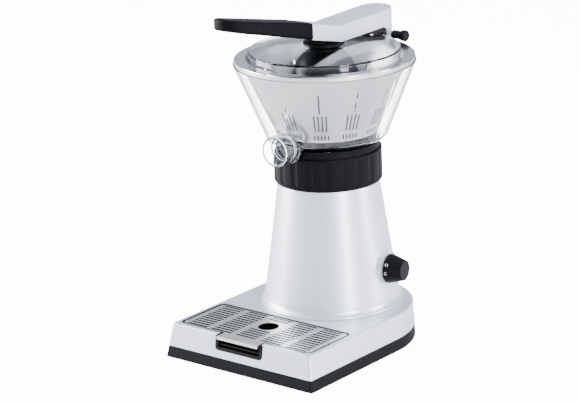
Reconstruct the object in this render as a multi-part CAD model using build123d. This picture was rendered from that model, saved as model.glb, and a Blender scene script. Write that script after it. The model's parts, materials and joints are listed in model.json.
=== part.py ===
from build123d import *
import math
import os

# Citrus press juicer. Millimetres, +Z up, +X to the right, the front of the juicer faces -Y.
# Depths are drawn from a line 13 mm in front of the origin; save() moves every piece, so that the origin
# is on the table, under the middle of the whole object's outline.

# ---- driving dimensions -------------------------------------------------------------------
ORIGIN_Y = 13.0          # depth, as drawn, of the middle of the outline
BASE_WIDTH = 200.0
BASE_FRONT = -123.0
BASE_REAR = 121.5
REAR_CORNER_R = 97.0
AXIS_Y = 41.5            # drive axis, seen from above
FLOOR_GAP = 0.6          # height of the base plate over the table, on its feet
BAND_TOP = 13.1          # joint between black base plate and silver cover
DECK_TOP = 37.8          # top of the silver cover
BAND_INSET = 2.2         # draft of the black band
COVER_INSET = 6.3        # draft at the top of the cover
REAR_DRAFT = 0.2         # share of that draft at the rear
CORNER_DRAFT = 1.6       # and of the rear corners' radius
WALL = 2.6
TOWER_TOP = 175.0
TOWER_TOP_R = 54.6
LIP_R = 77.4             # rounded foot of the column
COLLAR_Z = (173.6, 209.3)
COLLAR_R = 58.3
COLLAR_NECK_R = 56.0
COLLAR_TOP = 217.6
FLUTES = 20
BOWL_SLOPE = 0.405       # mm of radius per mm of height
BOWL_RIM = (97.5, 303.4)
BOWL_FOOT_Z = 218.2
BASKET_SLOPE = 0.455
BASKET_RIM = (90.7, 308.0)
RIM_OUTER_R = 96.4
RIM_INNER_R = 84.0
RIM_TOP = 309.0
SPOUT_Z = 224.0
SPOUT_R = 16.0
LID_R = 81.6
LID_EDGE_Z = 317.3
HUB_BOTTOM = 321.0
ARM_HALF = 19.0
ARM_TOP = 342.0
ARM_SLOPE = math.radians(13.6)
KINK_Y = 48.5
PIN_Y = 138.5
PIN_Z = 314.0
PIN_R = 3.0
KNUCKLE_R = 4.8
ARM_REAR = 149.0
ARM_RISE = 0.022         # climb of the arm's top towards the rear
GRIP_TIP_Y = -123.0
KNOB_AZIMUTH = 9.0       # degrees from +X towards the rear
KNOB_Z = 80.6
KNOB_FACE = 71.5         # distance of the knob's foot from the drive axis
KNOB_LENGTH = 18.6
SHAFT_R = 4.0
RUN_FIT = 0.05           # radial clearance of a running shaft
MODULE = 0.8
TEETH = {"pinion": 12, "wheel": 48, "lay": 12, "output": 60}
GEAR_LOW = (111.0, 117.0)
GEAR_HIGH = (119.0, 127.0)

os.makedirs("parts", exist_ok=True)


# ---- helpers ------------------------------------------------------------------------------
def save(node, shape):
    """Write one node; every piece in it is a separate solid."""
    solids = list((Pos(0, -ORIGIN_Y, 0) * shape).solids())
    export_step(Compound(children=solids) if len(solids) > 1 else solids[0], f"parts/{node}.step")


def box(x0, x1, y0, y1, z0, z1):
    return Pos((x0 + x1) / 2, (y0 + y1) / 2, (z0 + z1) / 2) * Box(x1 - x0, y1 - y0, z1 - z0)


def rod(radius, z0, z1, x=0.0, y=AXIS_Y):
    """Upright cylinder."""
    return Pos(x, y, (z0 + z1) / 2) * Cylinder(radius, z1 - z0)


def tube(outer, inner, z0, z1, x=0.0, y=AXIS_Y):
    return rod(outer, z0, z1, x, y) - rod(inner, z0 - 1, z1 + 1, x, y)


def rod_x(radius, x0, x1, y, z):
    return Pos((x0 + x1) / 2, y, z) * Rot(0, 90, 0) * Cylinder(radius, x1 - x0)


def rod_y(radius, y0, y1, x, z):
    return Pos(x, (y0 + y1) / 2, z) * Rot(90, 0, 0) * Cylinder(radius, y1 - y0)


def turned(edges, x=0.0, y=AXIS_Y):
    """Revolve a closed outline, drawn as radius and height, about an upright axis."""
    face = Plane.XZ * make_face(edges)
    return Pos(x, y, 0) * revolve(face, axis=Axis.Z)


def turned_points(points, x=0.0, y=AXIS_Y):
    return turned(Polyline(*points, close=True), x, y)


def side_plate(points, x0, x1):
    """Extrude an outline, drawn as depth and height, along X from x0 to x1."""
    face = Plane.YZ * make_face(Polyline(*points, close=True))
    return Pos(x0, 0, 0) * extrude(face, amount=x1 - x0)


def around(count, start=0.0):
    """Rotations about the drive axis, evenly spread."""
    step = 360.0 / count
    return [Pos(0, AXIS_Y, 0) * Rot(0, 0, start + i * step) * Pos(0, -AXIS_Y, 0) for i in range(count)]


def bowl_r(z):
    return BOWL_RIM[0] - BOWL_SLOPE * (BOWL_RIM[1] - z)


def basket_r(z):
    return BASKET_RIM[0] - BASKET_SLOPE * (BASKET_RIM[1] - z)


def base_outline(draft, wall, z):
    """The base seen from above: square at the front, round at the rear."""
    half = BASE_WIDTH / 2 - draft - wall
    front = BASE_FRONT + draft + wall
    rear = BASE_REAR - REAR_DRAFT * draft - wall
    r = REAR_CORNER_R - CORNER_DRAFT * draft - wall
    nose = 3.0
    left, right = -half, half
    edges = [
        Line((left + nose, front), (right - nose, front)),
        RadiusArc((right - nose, front), (right, front + nose), -nose),
        Line((right, front + nose), (right, rear - r)),
        RadiusArc((right, rear - r), (right - r, rear), -r),
        Line((right - r, rear), (left + r, rear)),
        RadiusArc((left + r, rear), (left, rear - r), -r),
        Line((left, rear - r), (left, front + nose)),
        RadiusArc((left, front + nose), (left + nose, front), -nose),
    ]
    return Pos(0, 0, z) * make_face(edges)


def base_block(draft0, z0, draft1, z1, wall=0.0):
    return loft([base_outline(draft0, wall, z0), base_outline(draft1, wall, z1)], ruled=True)


def round_rect(half_x, y0, y1, z0, z1, r):
    plan = Pos(0, (y0 + y1) / 2) * RectangleRounded(2 * half_x, y1 - y0, r)
    return Pos(0, 0, z0) * extrude(plan, amount=z1 - z0)


def involute_gear(teeth, z0, z1, x, y, turn_degrees, tip=1.0, thin=0.05):
    """Spur gear with involute flanks of 20 degrees; each flank is thinned for backlash."""
    pitch_r = MODULE * teeth / 2
    base_r = pitch_r * math.cos(math.radians(20))
    root_r = pitch_r - 1.25 * MODULE
    tip_r = pitch_r + tip * MODULE
    half_pitch = math.pi / (2 * teeth) - thin / pitch_r + math.tan(math.radians(20)) - math.radians(20)
    flank = []
    for step in range(5):
        r = max(base_r, root_r) + (tip_r - max(base_r, root_r)) * step / 4
        roll = math.sqrt(max((r / base_r) ** 2 - 1, 0.0))
        flank.append((r, half_pitch - (roll - math.atan(roll))))
    points = []
    for tooth in range(teeth):
        middle = math.radians(turn_degrees) + 2 * math.pi * tooth / teeth
        points.append((root_r, middle - half_pitch))
        points += [(r, middle - a) for r, a in flank if r > root_r]
        points += [(r, middle + a) for r, a in reversed(flank) if r > root_r]
        points.append((root_r, middle + half_pitch))
    outline = Polyline(*[(r * math.cos(a), r * math.sin(a)) for r, a in points], close=True)
    return Pos(x, y, z0) * extrude(make_face(outline), amount=z1 - z0)


# ---- places that several pieces share -------------------------------------------------------
LAY_OFFSET = MODULE * (TEETH["lay"] + TEETH["output"]) / 2
MOTOR_OFFSET = MODULE * (TEETH["pinion"] + TEETH["wheel"]) / 2
MOTOR_TURN = math.radians(50)
LAY_Y = AXIS_Y + LAY_OFFSET
MOTOR_X = -MOTOR_OFFSET * math.sin(MOTOR_TURN)
MOTOR_Y = LAY_Y - MOTOR_OFFSET * math.cos(MOTOR_TURN)
CASE_Z = 104.0
CASE_R = 58.0
CASE_WALL_R = 51.6
CASE_SCREW_R = 55.0
COVER_Z = 131.0
SCREW_POSTS = [(-84, -112), (84, -112), (-78, 20), (78, 20), (-42, 104), (42, 104)]
FOOT_POSTS = [(-76, -92), (76, -92), (-68, 78), (68, 78)]
KNOB_FRAME = Pos(0, AXIS_Y, KNOB_Z) * Rot(0, 0, KNOB_AZIMUTH) * Rot(0, 90, 0)
TRAY_HALF = 88.6
TRAY_Y = (-110.6, -39.2)
GRILLE_HALF = 86.2
GRILLE_Y = (-108.2, -41.6)
HOLE_Y = -68.5
NOTCH_HALF = 30.5
NOTCH_Z = 22.6
BRACKET_SEAT_Y = AXIS_Y + 95.0
FRAME_TOP = ARM_TOP - 2.15
FRAME_LOW = 325.4
TONGUE_HALF = 14.0


# ---- base ---------------------------------------------------------------------------------
def base_plate():
    floor = 3.0
    outer = base_block(0, FLOOR_GAP, BAND_INSET, BAND_TOP)
    inner = base_block(0.6, FLOOR_GAP + floor, BAND_INSET, BAND_TOP + 0.01, WALL)
    plate = outer - inner
    for x, y in SCREW_POSTS:
        plate += rod(5.0, FLOOR_GAP, BAND_TOP - 1.0, x, y)
    for x, y in SCREW_POSTS:
        plate -= rod(1.8, 0, 20, x, y) + rod(3.6, 0, FLOOR_GAP + 4.2, x, y)
    for x, y in FOOT_POSTS:
        plate -= rod(9.2, 0, FLOOR_GAP + 1.4, x, y)
    for i in range(7):
        plate -= round_rect(1.4, 20, 56, 0, 10, 1.3).moved(Location((12.0 * (i - 3), 0, 0)))
    return plate


def rubber_feet():
    profile = [(0, 0), (7.8, 0), (8.9, 1.0), (8.9, FLOOR_GAP + 1.4), (0, FLOOR_GAP + 1.4)]
    feet = [turned_points(profile, x, y) - rod(4.0, -1, 0.8, x, y) for x, y in FOOT_POSTS]
    return Compound(children=feet)


def base_screws():
    head_z = FLOOR_GAP + 4.2
    screws = []
    for x, y in SCREW_POSTS:
        screw = rod(3.3, head_z - 2.2, head_z, x, y) + rod(1.75, head_z, head_z + 10.5, x, y)
        screws.append(screw - box(x - 2.2, x + 2.2, y - 0.4, y + 0.4, 0, head_z - 1.1))
    return Compound(children=screws)


def base_cover():
    roof = 2.4
    cover = base_block(BAND_INSET, BAND_TOP, COVER_INSET, DECK_TOP)
    cover = fillet(cover.faces().sort_by(Axis.Z)[-1].edges(), 1.6)
    cover -= base_block(BAND_INSET, BAND_TOP - 0.01, COVER_INSET - 0.4, DECK_TOP - roof, WALL)
    for x, y in SCREW_POSTS:
        cover += rod(4.6, BAND_TOP - 0.9, DECK_TOP - roof + 0.2, x, y)
    well_wall = 2.0
    gap = 0.5
    well = round_rect(TRAY_HALF + gap + well_wall, TRAY_Y[0] - gap - 0.8, TRAY_Y[1] + gap + well_wall,
                      16.4, DECK_TOP - 1.0, 8.0)
    cover += well & base_block(BAND_INSET, BAND_TOP, COVER_INSET - 0.2, DECK_TOP, 0.5)
    cover -= round_rect(TRAY_HALF + gap, TRAY_Y[0] - gap, TRAY_Y[1] + gap, 17.6, 60, 7.0)
    cover -= box(-NOTCH_HALF, NOTCH_HALF, BASE_FRONT - 5, TRAY_Y[0] + 6, NOTCH_Z, 60)
    cover -= rod(66.0, 30, 60)
    for x, y in SCREW_POSTS:
        cover -= rod(1.8, 0, 25, x, y)
    cover -= rod_y(5.9, 100, 140, 0, 24.5)
    return cover


def cord_gland():
    """Bush that lines the cord's hole in the rear wall of the cover."""
    z = 24.5
    gland = rod_y(5.7, 114.5, 121.6, 0, z) + rod_y(8.0, 121.1, 123.4, 0, z) + rod_y(7.2, 114.5, 117.6, 0, z)
    return gland - rod_y(3.6, 100, 140, 0, z)


# ---- column -------------------------------------------------------------------------------
def tower():
    foot_z = DECK_TOP
    outer = [
        Line((66.5, foot_z), (LIP_R - 1.6, foot_z)),
        ThreePointArc((LIP_R - 1.6, foot_z), (LIP_R, foot_z + 1.5), (LIP_R - 0.9, foot_z + 3.0)),
        ThreePointArc((LIP_R - 0.9, foot_z + 3.0), (LIP_R - 2.9, foot_z + 5.2), (73.2, foot_z + 10.2)),
        ThreePointArc((73.2, foot_z + 10.2), (63.4, 112.0), (TOWER_TOP_R, TOWER_TOP)),
        Line((TOWER_TOP_R, TOWER_TOP), (TOWER_TOP_R - WALL, TOWER_TOP)),
        ThreePointArc((TOWER_TOP_R - WALL, TOWER_TOP), (60.6, 112.0), (70.0, foot_z + 10.2)),
        Line((70.0, foot_z + 10.2), (66.5, foot_z)),
    ]
    shell = turned(outer)
    shell += KNOB_FRAME * Pos(0, 0, (62 + KNOB_FACE - 1.2) / 2) * Cylinder(19.0, KNOB_FACE - 1.2 - 62)
    inside = turned_points([(0, 30), (65.5, 30), (69.0, foot_z + 11), (60.4, 112), (TOWER_TOP_R - WALL, 176),
                            (0, 176)])
    shell -= inside & rod(80, 60, 102)
    for turn in around(4, 45):
        post = box(-5, 5, AXIS_Y + 51.5, AXIS_Y + 63, CASE_Z - 14, CASE_Z)
        hole = rod(1.5, CASE_Z - 12, CASE_Z + 1, 0, AXIS_Y + CASE_SCREW_R)
        shell += turn * (post - hole)
    for turn in around(4, 45):
        post = box(-5, 5, AXIS_Y + 60.5, AXIS_Y + 70.4, DECK_TOP, DECK_TOP + 12)
        shell += turn * (post - rod(1.5, DECK_TOP - 1, DECK_TOP + 11, 0, AXIS_Y + 63.5))
    shell -= KNOB_FRAME * Pos(0, 0, 66) * Cylinder(5.0, 40)
    return shell


def tower_screws():
    """Screws that hold the gear case to the column's posts."""
    screws = []
    for turn in around(4, 45):
        y = AXIS_Y + CASE_SCREW_R
        top = CASE_Z + 3.0
        head = rod(2.8, top, top + 2.2, 0, y) - box(-0.4, 0.4, y - 2, y + 2, top + 1.2, top + 3)
        screws.append(turn * (head + rod(1.45, top - 12, top, 0, y)))
    return Compound(children=screws)


# ---- drive --------------------------------------------------------------------------------
def motor_can():
    z0, z1 = 46.0, CASE_Z
    can = tube(27.0, 25.5, z0, z1, MOTOR_X, MOTOR_Y) + tube(27.0, 4.2, z1 - 1.5, z1, MOTOR_X, MOTOR_Y)
    for side in (-1, 1):
        can -= rod(1.5, z1 - 3, z1 + 1, MOTOR_X + 15.0 * side, MOTOR_Y)
    return can


def motor_end_cap():
    z0, z1 = 41.0, 46.0
    cap = rod(26.0, z0, z1, MOTOR_X, MOTOR_Y) - rod(3.0 + RUN_FIT, z0 + 2, z1 + 1, MOTOR_X, MOTOR_Y)
    for side in (-1, 1):
        x = MOTOR_X + side * 16
        cap += box(x - 4, x + 4, MOTOR_Y - 3, MOTOR_Y + 3, z1 - 0.5, z1 + 8)
    return cap


def motor_stator():
    ring = tube(25.4, 17.0, 56.0, 98.0, MOTOR_X, MOTOR_Y)
    return ring - box(MOTOR_X - 30, MOTOR_X + 30, MOTOR_Y - 2.5, MOTOR_Y + 2.5, 50, 100)


def motor_rotor():
    shaft = rod(3.0, 43.2, GEAR_LOW[1] + 0.5, MOTOR_X, MOTOR_Y)
    armature = rod(16.0, 59.0, 96.0, MOTOR_X, MOTOR_Y)
    for turn in range(10):
        a = math.radians(36 * turn)
        armature -= rod(2.4, 58, 97, MOTOR_X + 15.2 * math.cos(a), MOTOR_Y + 15.2 * math.sin(a))
    commutator = rod(7.0, 48.0, 57.0, MOTOR_X, MOTOR_Y)
    return shaft + armature + commutator


def motor_screws():
    screws = []
    for side in (-1, 1):
        x = MOTOR_X + 15.0 * side
        top = CASE_Z + 3.0
        screws.append(rod(2.6, top, top + 2.0, x, MOTOR_Y) + rod(1.5, 101.0, top, x, MOTOR_Y))
    return Compound(children=screws)


def gear_case():
    plate = rod(CASE_R, CASE_Z, CASE_Z + 3.0)
    plate += tube(CASE_WALL_R, CASE_WALL_R - 1.8, CASE_Z, COVER_Z)
    plate += rod(8.0, CASE_Z, CASE_Z + 5.5)
    plate -= rod(SHAFT_R + 2.0, CASE_Z + 2.0, COVER_Z)
    plate -= rod(7.0, CASE_Z - 1, COVER_Z, MOTOR_X, MOTOR_Y)
    plate += rod(5.0, CASE_Z, CASE_Z + 4.5, 0, LAY_Y)
    plate -= rod(2.5, CASE_Z + 1.0, COVER_Z, 0, LAY_Y)
    for side in (-1, 1):
        plate -= rod(1.55, CASE_Z - 1, CASE_Z + 4, MOTOR_X + 15.0 * side, MOTOR_Y)
    for turn in around(4, 45):
        plate -= turn * rod(1.5, CASE_Z - 1, CASE_Z + 4, 0, AXIS_Y + CASE_SCREW_R)
    return plate


def gear_cover():
    plate = rod(CASE_WALL_R, COVER_Z, COVER_Z + 3.0)
    plate -= rod(SHAFT_R + 0.6, COVER_Z - 1, COVER_Z + 4)
    plate -= rod(2.5, COVER_Z - 1, COVER_Z + 2.0, 0, LAY_Y)
    return plate + tube(9.0, 6.0, COVER_Z + 3.0, COVER_Z + 7.0)


def lay_shaft():
    return rod(2.5, CASE_Z + 1.0, COVER_Z + 2.0, 0, LAY_Y)


def lay_gear():
    """Compound gear: the large wheel meets the motor pinion, the small one the output gear."""
    to_motor = 270.0 - math.degrees(MOTOR_TURN)
    wheel_turn = to_motor + 180.0 / TEETH["wheel"]
    gear = involute_gear(TEETH["wheel"], GEAR_LOW[0], GEAR_LOW[1], 0, LAY_Y, wheel_turn, tip=0.85)
    gear += involute_gear(TEETH["lay"], GEAR_LOW[1] - 0.2, GEAR_HIGH[1], 0, LAY_Y, 270.0)
    gear += rod(4.2, GEAR_LOW[0] - 2.0, GEAR_LOW[0], 0, LAY_Y)
    return gear - rod(2.5 + RUN_FIT, 100, 140, 0, LAY_Y)


def motor_pinion():
    toward_lay = 90.0 - math.degrees(MOTOR_TURN)
    gear = involute_gear(TEETH["pinion"], GEAR_LOW[0], GEAR_LOW[1], MOTOR_X, MOTOR_Y, toward_lay)
    return gear - rod(3.0, 100, 120, MOTOR_X, MOTOR_Y)


def output_gear():
    turn = 90.0 + 180.0 / TEETH["output"]
    gear = involute_gear(TEETH["output"], GEAR_HIGH[0], GEAR_HIGH[1], 0, AXIS_Y, turn, tip=0.85)
    gear -= rod(3.8, 100, 140)
    for hole in around(6, 30):
        gear -= hole * rod(4.5, 100, 140, 0, AXIS_Y + 14)
    return gear + tube(8.0, SHAFT_R, GEAR_HIGH[0], GEAR_HIGH[1] + 2.5) - rod(SHAFT_R, 100, 140)


def drive_shaft():
    shaft = rod(SHAFT_R, CASE_Z + 2.2, 243.0)
    flats = box(-10, -3.4, 30, 53, 238, 250) + box(3.4, 10, 30, 53, 238, 250)
    return shaft - flats


def lower_bush():
    return tube(SHAFT_R + 2.0, SHAFT_R + RUN_FIT, CASE_Z + 2.0, CASE_Z + 9.5)


def upper_bush():
    return tube(SHAFT_R + 3.0, SHAFT_R + RUN_FIT, 200.0, 216.5)


def shaft_seal():
    seal = tube(6.9, SHAFT_R + RUN_FIT, 229.5, 235.4)
    return seal - tube(6.0, 5.0, 233.0, 236.0)


# ---- top of the column ----------------------------------------------------------------------
def deck():
    """Black cap of the column: carries the shaft's upper bush and the collar's lugs."""
    cap = turned_points([
        (TOWER_TOP_R - WALL - 0.2, 160), (TOWER_TOP_R - WALL - 0.2, TOWER_TOP), (TOWER_TOP_R, TOWER_TOP),
        (TOWER_TOP_R, TOWER_TOP + 2.4), (51.8, TOWER_TOP + 2.4), (51.8, 206), (12, 206), (12, 217),
        (7, 217), (7, 198), (12, 198), (12, 202.5), (48.8, 202.5), (48.8, 160)])
    for turn in around(3, 0):
        lug = (tube(52.7, 51.5, 183, 186) & box(-16, 16, AXIS_Y - 60, AXIS_Y, 180, 190))
        cap += turn * lug
    for turn in around(6, 0):
        cap += turn * box(-1.0, 1.0, AXIS_Y + 11.5, AXIS_Y + 49.5, 196, 203)
    return cap


def collar():
    """Fluted lock ring: its ribs turn under the deck's lugs, its lip holds the bowl's lugs."""
    z0, z1 = COLLAR_Z
    edges = [
        Line((55.2, z0), (COLLAR_R - 2.6, z0)),
        RadiusArc((COLLAR_R - 2.6, z0), (COLLAR_R, z0 + 2.6), -2.6),
        Line((COLLAR_R, z0 + 2.6), (COLLAR_R, z1 - 1.2)),
        RadiusArc((COLLAR_R, z1 - 1.2), (COLLAR_R - 1.2, z1), -1.2),
        Line((COLLAR_R - 1.2, z1), (COLLAR_NECK_R, z1)),
        Line((COLLAR_NECK_R, z1), (COLLAR_NECK_R, COLLAR_TOP)),
        Line((COLLAR_NECK_R, COLLAR_TOP), (51.0, COLLAR_TOP)),
        Line((51.0, COLLAR_TOP), (51.0, 211.2)),
        Line((51.0, 211.2), (53.1, 211.2)),
        Line((53.1, 211.2), (53.1, 178.0)),
        Line((53.1, 178.0), (55.2, 178.0)),
        Line((55.2, 178.0), (55.2, z0)),
    ]
    ring = turned(edges)
    for turn in around(3, 0):
        rib = (tube(53.6, 52.1, 178.6, 182) & box(-16, 16, AXIS_Y - 60, AXIS_Y, 170, 190))
        ring += turn * rib
        gap = (tube(53.1, 50.5, 205, 220) & box(-16, 16, AXIS_Y - 60, AXIS_Y, 200, 225))
        ring -= Pos(0, AXIS_Y, 0) * Rot(0, 0, -45) * Pos(0, -AXIS_Y, 0) * turn * gap
    scallop_r = 14.0
    depth = 0.9
    for turn in around(FLUTES, 0):
        ring -= turn * rod(scallop_r, z0 + 4.5, z1 - 2.5, 0, AXIS_Y - COLLAR_R - scallop_r + depth)
    return ring


def bowl_gasket():
    return tube(50.4, 46.6, 206.0, 207.0)


# ---- bowl, spout and basket -----------------------------------------------------------------
def bowl():
    """Clear juice bowl: cone, spigot with lock lugs, central chimney and spout socket."""
    wall = 2.7
    z_foot = BOWL_FOOT_Z
    body = turned_points([
        (47.0, 207.0), (50.0, 207.0), (50.0, z_foot), (58.7, z_foot), (60.4, 219.8), (bowl_r(224.6), 224.6),
        BOWL_RIM, (0, BOWL_RIM[1]), (0, 219.4), (47.0, 219.4)])
    for turn in around(3, 0):
        lug = tube(52.8, 49.5, 207.3, 210.4) & box(-14, 14, AXIS_Y - 60, AXIS_Y, 200, 212)
        body += turn * lug
    body += rod_y(SPOUT_R + 1.6, AXIS_Y - 66.0, AXIS_Y - 60.6, 0, SPOUT_Z)
    body += rod_y(SPOUT_R, AXIS_Y - 73.4, AXIS_Y - 62.0, 0, SPOUT_Z)
    body -= turned_points([
        (9.6, 222.4), (58.4, 221.4), (bowl_r(226.4) - wall, 226.4), (BOWL_RIM[0] - wall, BOWL_RIM[1]),
        (BOWL_RIM[0] - wall, BOWL_RIM[1] + 5), (0, BOWL_RIM[1] + 5), (0, 236.0), (9.4, 236.0)])
    body -= rod(6.9, 210, 240)
    body -= rod_y(14.5, AXIS_Y - 80, AXIS_Y - 63.2, 0, SPOUT_Z)
    body -= rod_y(12.4, AXIS_Y - 68, AXIS_Y - 46.0, 0, SPOUT_Z) & box(-13, 13, -60, 10, 222.6, 240)
    return body - bracket_holes(1.55)


def spout():
    tip_y = AXIS_Y - 89.2
    seat_y = AXIS_Y - 73.7
    tube_body = rod_y(SPOUT_R, tip_y, seat_y, 0, SPOUT_Z)
    tube_body += rod_y(14.2, seat_y - 1, AXIS_Y - 64.0, 0, SPOUT_Z)
    tube_body -= rod_y(14.3, tip_y - 1, tip_y + 12.5, 0, SPOUT_Z)
    tube_body -= rod_y(12.4, tip_y, AXIS_Y - 60, 0, SPOUT_Z)
    weir = rod_y(12.6, AXIS_Y - 66.0, AXIS_Y - 64.4, 0, SPOUT_Z) & box(-13, 13, -60, 10, SPOUT_Z + 3.5, 240)
    groove = rod_y(15, AXIS_Y - 70.2, AXIS_Y - 68.2, 0, SPOUT_Z)
    groove -= rod_y(13.3, AXIS_Y - 71, AXIS_Y - 68, 0, SPOUT_Z)
    return tube_body + weir - groove


def spout_o_ring():
    ring = rod_y(14.44, AXIS_Y - 70.1, AXIS_Y - 68.3, 0, SPOUT_Z)
    return ring - rod_y(13.35, AXIS_Y - 71, AXIS_Y - 68, 0, SPOUT_Z)


def filter_basket():
    """Conical steel strainer with twelve fans of upright slots and a slotted floor."""
    sheet = 0.8
    z_floor = 226.0
    r_low = basket_r(231.0)
    basket = turned_points([
        (20.2, z_floor - 0.8), (30.0, z_floor - 0.8), (r_low - 3.0, 228.0), (r_low - 0.6, 228.8),
        (r_low, 231.0), BASKET_RIM, (BASKET_RIM[0] - sheet, BASKET_RIM[1]), (r_low - sheet, 231.1),
        (r_low - 1.3, 229.5), (r_low - 3.2, 228.8), (30.0, z_floor), (20.2, z_floor)])
    slot = 1.7
    rows = [(264.0, 286.5, [0.0]), (242.0, 261.5, [-1.5, -0.5, 0.5, 1.5]),
            (232.0, 237.3, [-2.0, -1.0, 0.0, 1.0, 2.0])]
    pitch_angle = 3.6
    cutters = []
    for low, high, places in rows:
        for place in places:
            cutter = box(-slot / 2, slot / 2, AXIS_Y - 100, AXIS_Y - 40, low, high)
            for turn in around(12, 3.0 + place * pitch_angle):
                cutters.append(turn * cutter)
    for turn in around(24, 0):
        cutters.append(turn * box(-0.8, 0.8, AXIS_Y - 46, AXIS_Y - 26, z_floor - 3, z_floor + 1))
    return basket.cut(*[c.solids()[0] for c in cutters])


def filter_rim():
    """Flat polished ring with a rolled lip that hangs over the bowl's edge."""
    lip_z = RIM_TOP - 4.9
    return turned([
        Line((RIM_INNER_R, RIM_TOP), (RIM_OUTER_R - 1.0, RIM_TOP)),
        RadiusArc((RIM_OUTER_R - 1.0, RIM_TOP), (RIM_OUTER_R, RIM_TOP - 1.0), 1.0),
        Line((RIM_OUTER_R, RIM_TOP - 1.0), (RIM_OUTER_R, lip_z)),
        Line((RIM_OUTER_R, lip_z), (RIM_OUTER_R - 0.9, lip_z)),
        Line((RIM_OUTER_R - 0.9, lip_z), (RIM_OUTER_R - 0.9, BASKET_RIM[1])),
        Line((RIM_OUTER_R - 0.9, BASKET_RIM[1]), (BASKET_RIM[0] - 0.8, BASKET_RIM[1])),
        Line((BASKET_RIM[0] - 0.8, BASKET_RIM[1]), (BASKET_RIM[0] - 2.7, BASKET_RIM[1] - 4.0)),
        ThreePointArc((BASKET_RIM[0] - 2.7, BASKET_RIM[1] - 4.0), (85.4, 307.2), (RIM_INNER_R, RIM_TOP)),
    ])


def basket_hub():
    """Plastic hub that centres the basket on the bowl's chimney."""
    return turned_points([
        (9.8, 224.2), (20.0, 224.2), (20.0, 225.0), (23.0, 225.2), (23.0, 224.4), (24.0, 224.4), (24.0, 225.2),
        (20.2, 225.2), (20.2, 226.0), (24.0, 226.0), (24.0, 227.2), (16.0, 228.4), (13.0, 233.0), (9.8, 233.0)])


def reamer():
    """Ribbed cone on the end of the drive shaft, hollow below."""
    foot_z, tip_z, tip_r = 236.0, 282.0, 3.0
    cone = turned([
        Line((0, foot_z), (28.5, foot_z)),
        ThreePointArc((28.5, foot_z), (18.2, 270.0), (tip_r, tip_z)),
        Line((tip_r, tip_z), (0, tip_z)),
        Line((0, tip_z), (0, foot_z)),
    ])
    rib_face = Plane.XZ * make_face([
        Line((2.0, 262.0), (2.0, tip_z + 1.2)),
        Line((2.0, tip_z + 1.2), (5.0, tip_z + 1.2)),
        ThreePointArc((5.0, tip_z + 1.2), (20.6, 270.0), (30.8, foot_z)),
        Line((30.8, foot_z), (24.0, foot_z)),
        Line((24.0, foot_z), (2.0, 262.0)),
    ])
    rib = Pos(0, AXIS_Y, 0) * extrude(rib_face, amount=1.2, both=True)
    for turn in around(8, 0):
        cone += turn * rib
    cone -= turned([
        Line((8.5, foot_z - 1), (25.6, foot_z - 1)),
        ThreePointArc((25.6, foot_z - 1), (19.0, 262.0), (8.5, 273.0)),
        Line((8.5, 273.0), (8.5, foot_z - 1)),
    ])
    return cone - rod(SHAFT_R, 230, 243.0)


# ---- lever, lid and press cup -----------------------------------------------------------------
def arm_line(y, level):
    """Height of a line that is flat behind the kink and climbs towards the grip."""
    return level + max(KINK_Y - y, 0.0) * math.tan(ARM_SLOPE)


def arm_rear_top(inset=0.0):
    """Depth and height of the top line's rear end."""
    return (ARM_REAR - inset, ARM_TOP - inset + (ARM_REAR - KINK_Y) * ARM_RISE)


def arm_plan(half, front):
    """The lever seen from above, with its half-round rear end."""
    rear = ARM_REAR - ARM_HALF
    plan = Pos(0, (rear + front) / 2) * Rectangle(2 * half, rear - front) + Pos(0, rear) * Circle(half)
    return Pos(0, 0, 290) * extrude(plan, amount=120)


def arm_shell():
    half, sheet = ARM_HALF, 2.0
    low, arch_r, arch_y = 324.6, 8.0, 120.4
    arch = [(arch_y + arch_r * math.sin(t), low + 0.6 - arch_r + arch_r * math.cos(t))
            for t in (math.radians(10.0 * i) for i in range(10))]
    side = [arm_rear_top(), (KINK_Y, ARM_TOP), (0.5, arm_line(0.5, ARM_TOP)), (0.5, arm_line(0.5, low)),
            (KINK_Y, low)] + arch + [(arch_y + arch_r, 309.8), (137.0, 309.4), (140.5, 309.4), (145.5, 319.0),
                                     (ARM_REAR, 319.0)]
    block = side_plate(side, -half, half) & arm_plan(half, 0.0)
    inner = half - sheet
    core = [arm_rear_top(sheet), (KINK_Y - 0.3, ARM_TOP - sheet), (-2, arm_line(-2, ARM_TOP - sheet)), (-2, 300),
            (ARM_REAR - sheet, 300)]
    block -= side_plate(core, -inner, inner) & arm_plan(inner, -3.0)
    block = fillet(block.edges().filter_by(on_top_outline), 1.2)
    return block - rod_x(PIN_R + RUN_FIT, -30, 30, PIN_Y, PIN_Z)


def on_top_outline(edge):
    """True for the outer edges of the arm's top face."""
    middle = edge @ 0.5
    top = arm_line(middle.Y, ARM_TOP) + max(middle.Y - KINK_Y, 0.0) * ARM_RISE
    at_side = abs(abs(middle.X) - ARM_HALF) < 0.01 or middle.Y > 140
    return abs(middle.Z - top) < 0.01 and at_side


def tongue_line():
    """The tongue's outline in side view, from the grip's tip to the joint and back."""
    tip = -105.0
    return [(0.0, arm_line(0.0, FRAME_TOP) - 1.6), (tip, arm_line(tip, FRAME_TOP) - 3.6),
            (tip, arm_line(tip, FRAME_LOW) + 4.2), (0.0, arm_line(0.0, FRAME_LOW) + 2.4)]


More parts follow.
